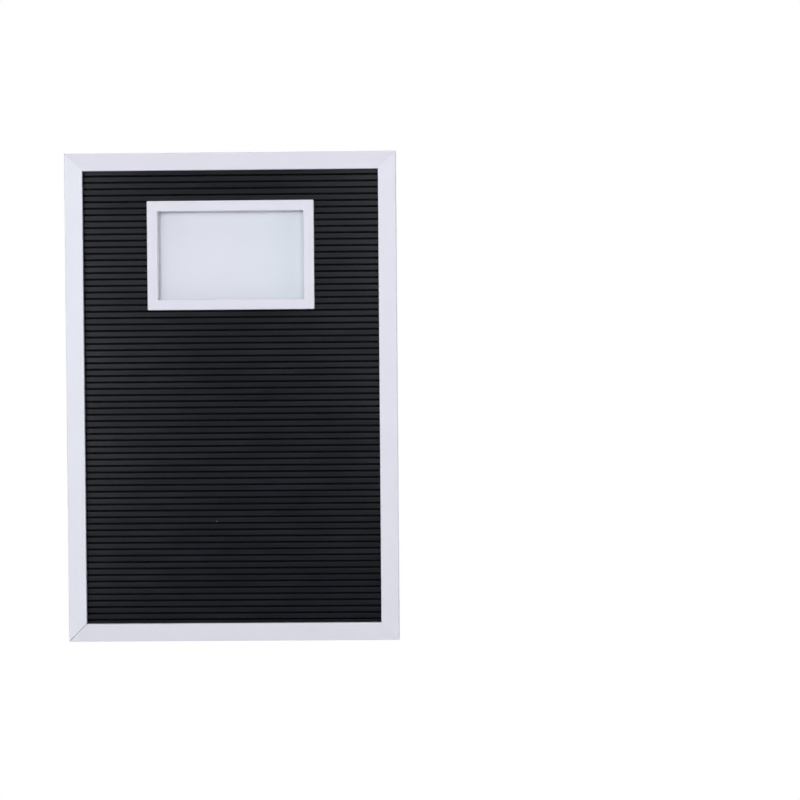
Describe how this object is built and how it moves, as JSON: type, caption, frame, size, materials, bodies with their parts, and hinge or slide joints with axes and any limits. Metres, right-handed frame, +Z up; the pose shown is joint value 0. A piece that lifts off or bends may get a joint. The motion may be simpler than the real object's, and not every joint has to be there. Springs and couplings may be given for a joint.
{
  "type": "changeable letter board",
  "caption": "Wall letter board: white mitred frame, black panel with rows of undercut grooves for push-in letters, and a photo window in a white bezel near its top.",
  "frame": {"origin": "the hanging point: under the middle notch of the sawtooth hanger, on the plane of the frame's rear face", "axes": "+Z up, +X to the viewer's right, +Y into the wall; the board faces -Y"},
  "size_m": [0.305, 0.0227, 0.45],
  "materials": {
    "frame_white": "satin white foil over wood fibre",
    "panel_black": "satin black, extruded",
    "bezel_white": "semi-gloss white, moulded",
    "pane_clear": "clear",
    "card_pale": "matt",
    "hardboard": "bare, pressed",
    "fibreboard": "bare, sanded",
    "zinc_steel": "zinc plated"
  },
  "bodies": {
    "board": {"frame_rail_top": "frame_white", "frame_rail_bottom": "frame_white", "frame_rail_left": "frame_white", "frame_rail_right": "frame_white", "letter_panel": "panel_black", "photo_bezel": "bezel_white", "photo_glass": "pane_clear", "photo_card": "card_pale", "photo_cover": "hardboard", "back_panel": "fibreboard", "button_screw_upper_left": "zinc_steel", "button_screw_upper_right": "zinc_steel", "button_screw_lower_left": "zinc_steel", "button_screw_lower_right": "zinc_steel", "flexible_point_top_1": "zinc_steel", "flexible_point_top_2": "zinc_steel", "flexible_point_bottom_1": "zinc_steel", "flexible_point_bottom_2": "zinc_steel", "flexible_point_left_1": "zinc_steel", "flexible_point_left_2": "zinc_steel", "flexible_point_left_3": "zinc_steel", "flexible_point_right_1": "zinc_steel", "flexible_point_right_2": "zinc_steel", "flexible_point_right_3": "zinc_steel", "v_nail_upper_left": "zinc_steel", "v_nail_upper_right": "zinc_steel", "v_nail_lower_left": "zinc_steel", "v_nail_lower_right": "zinc_steel", "sawtooth_hanger": "zinc_steel", "hanger_nail_left": "zinc_steel", "hanger_nail_right": "zinc_steel"},
    "button_upper_left": {"turn_button_upper_left": "zinc_steel"},
    "button_upper_right": {"turn_button_upper_right": "zinc_steel"},
    "button_lower_left": {"turn_button_lower_left": "zinc_steel"},
    "button_lower_right": {"turn_button_lower_right": "zinc_steel"}
  },
  "joints": [
    {"name": "upper_left_turn", "type": "hinge", "parent": "board", "child": "button_upper_left", "pos_m": [-0.048, -0.0045, -0.0284], "axis": [0, 1, 0], "continuous": true},
    {"name": "upper_right_turn", "type": "hinge", "parent": "board", "child": "button_upper_right", "pos_m": [0.048, -0.0045, -0.0284], "axis": [0, 1, 0], "continuous": true},
    {"name": "lower_left_turn", "type": "hinge", "parent": "board", "child": "button_lower_left", "pos_m": [-0.048, -0.0045, -0.146], "axis": [0, 1, 0], "continuous": true},
    {"name": "lower_right_turn", "type": "hinge", "parent": "board", "child": "button_lower_right", "pos_m": [0.048, -0.0045, -0.146], "axis": [0, 1, 0], "continuous": true}
  ]
}
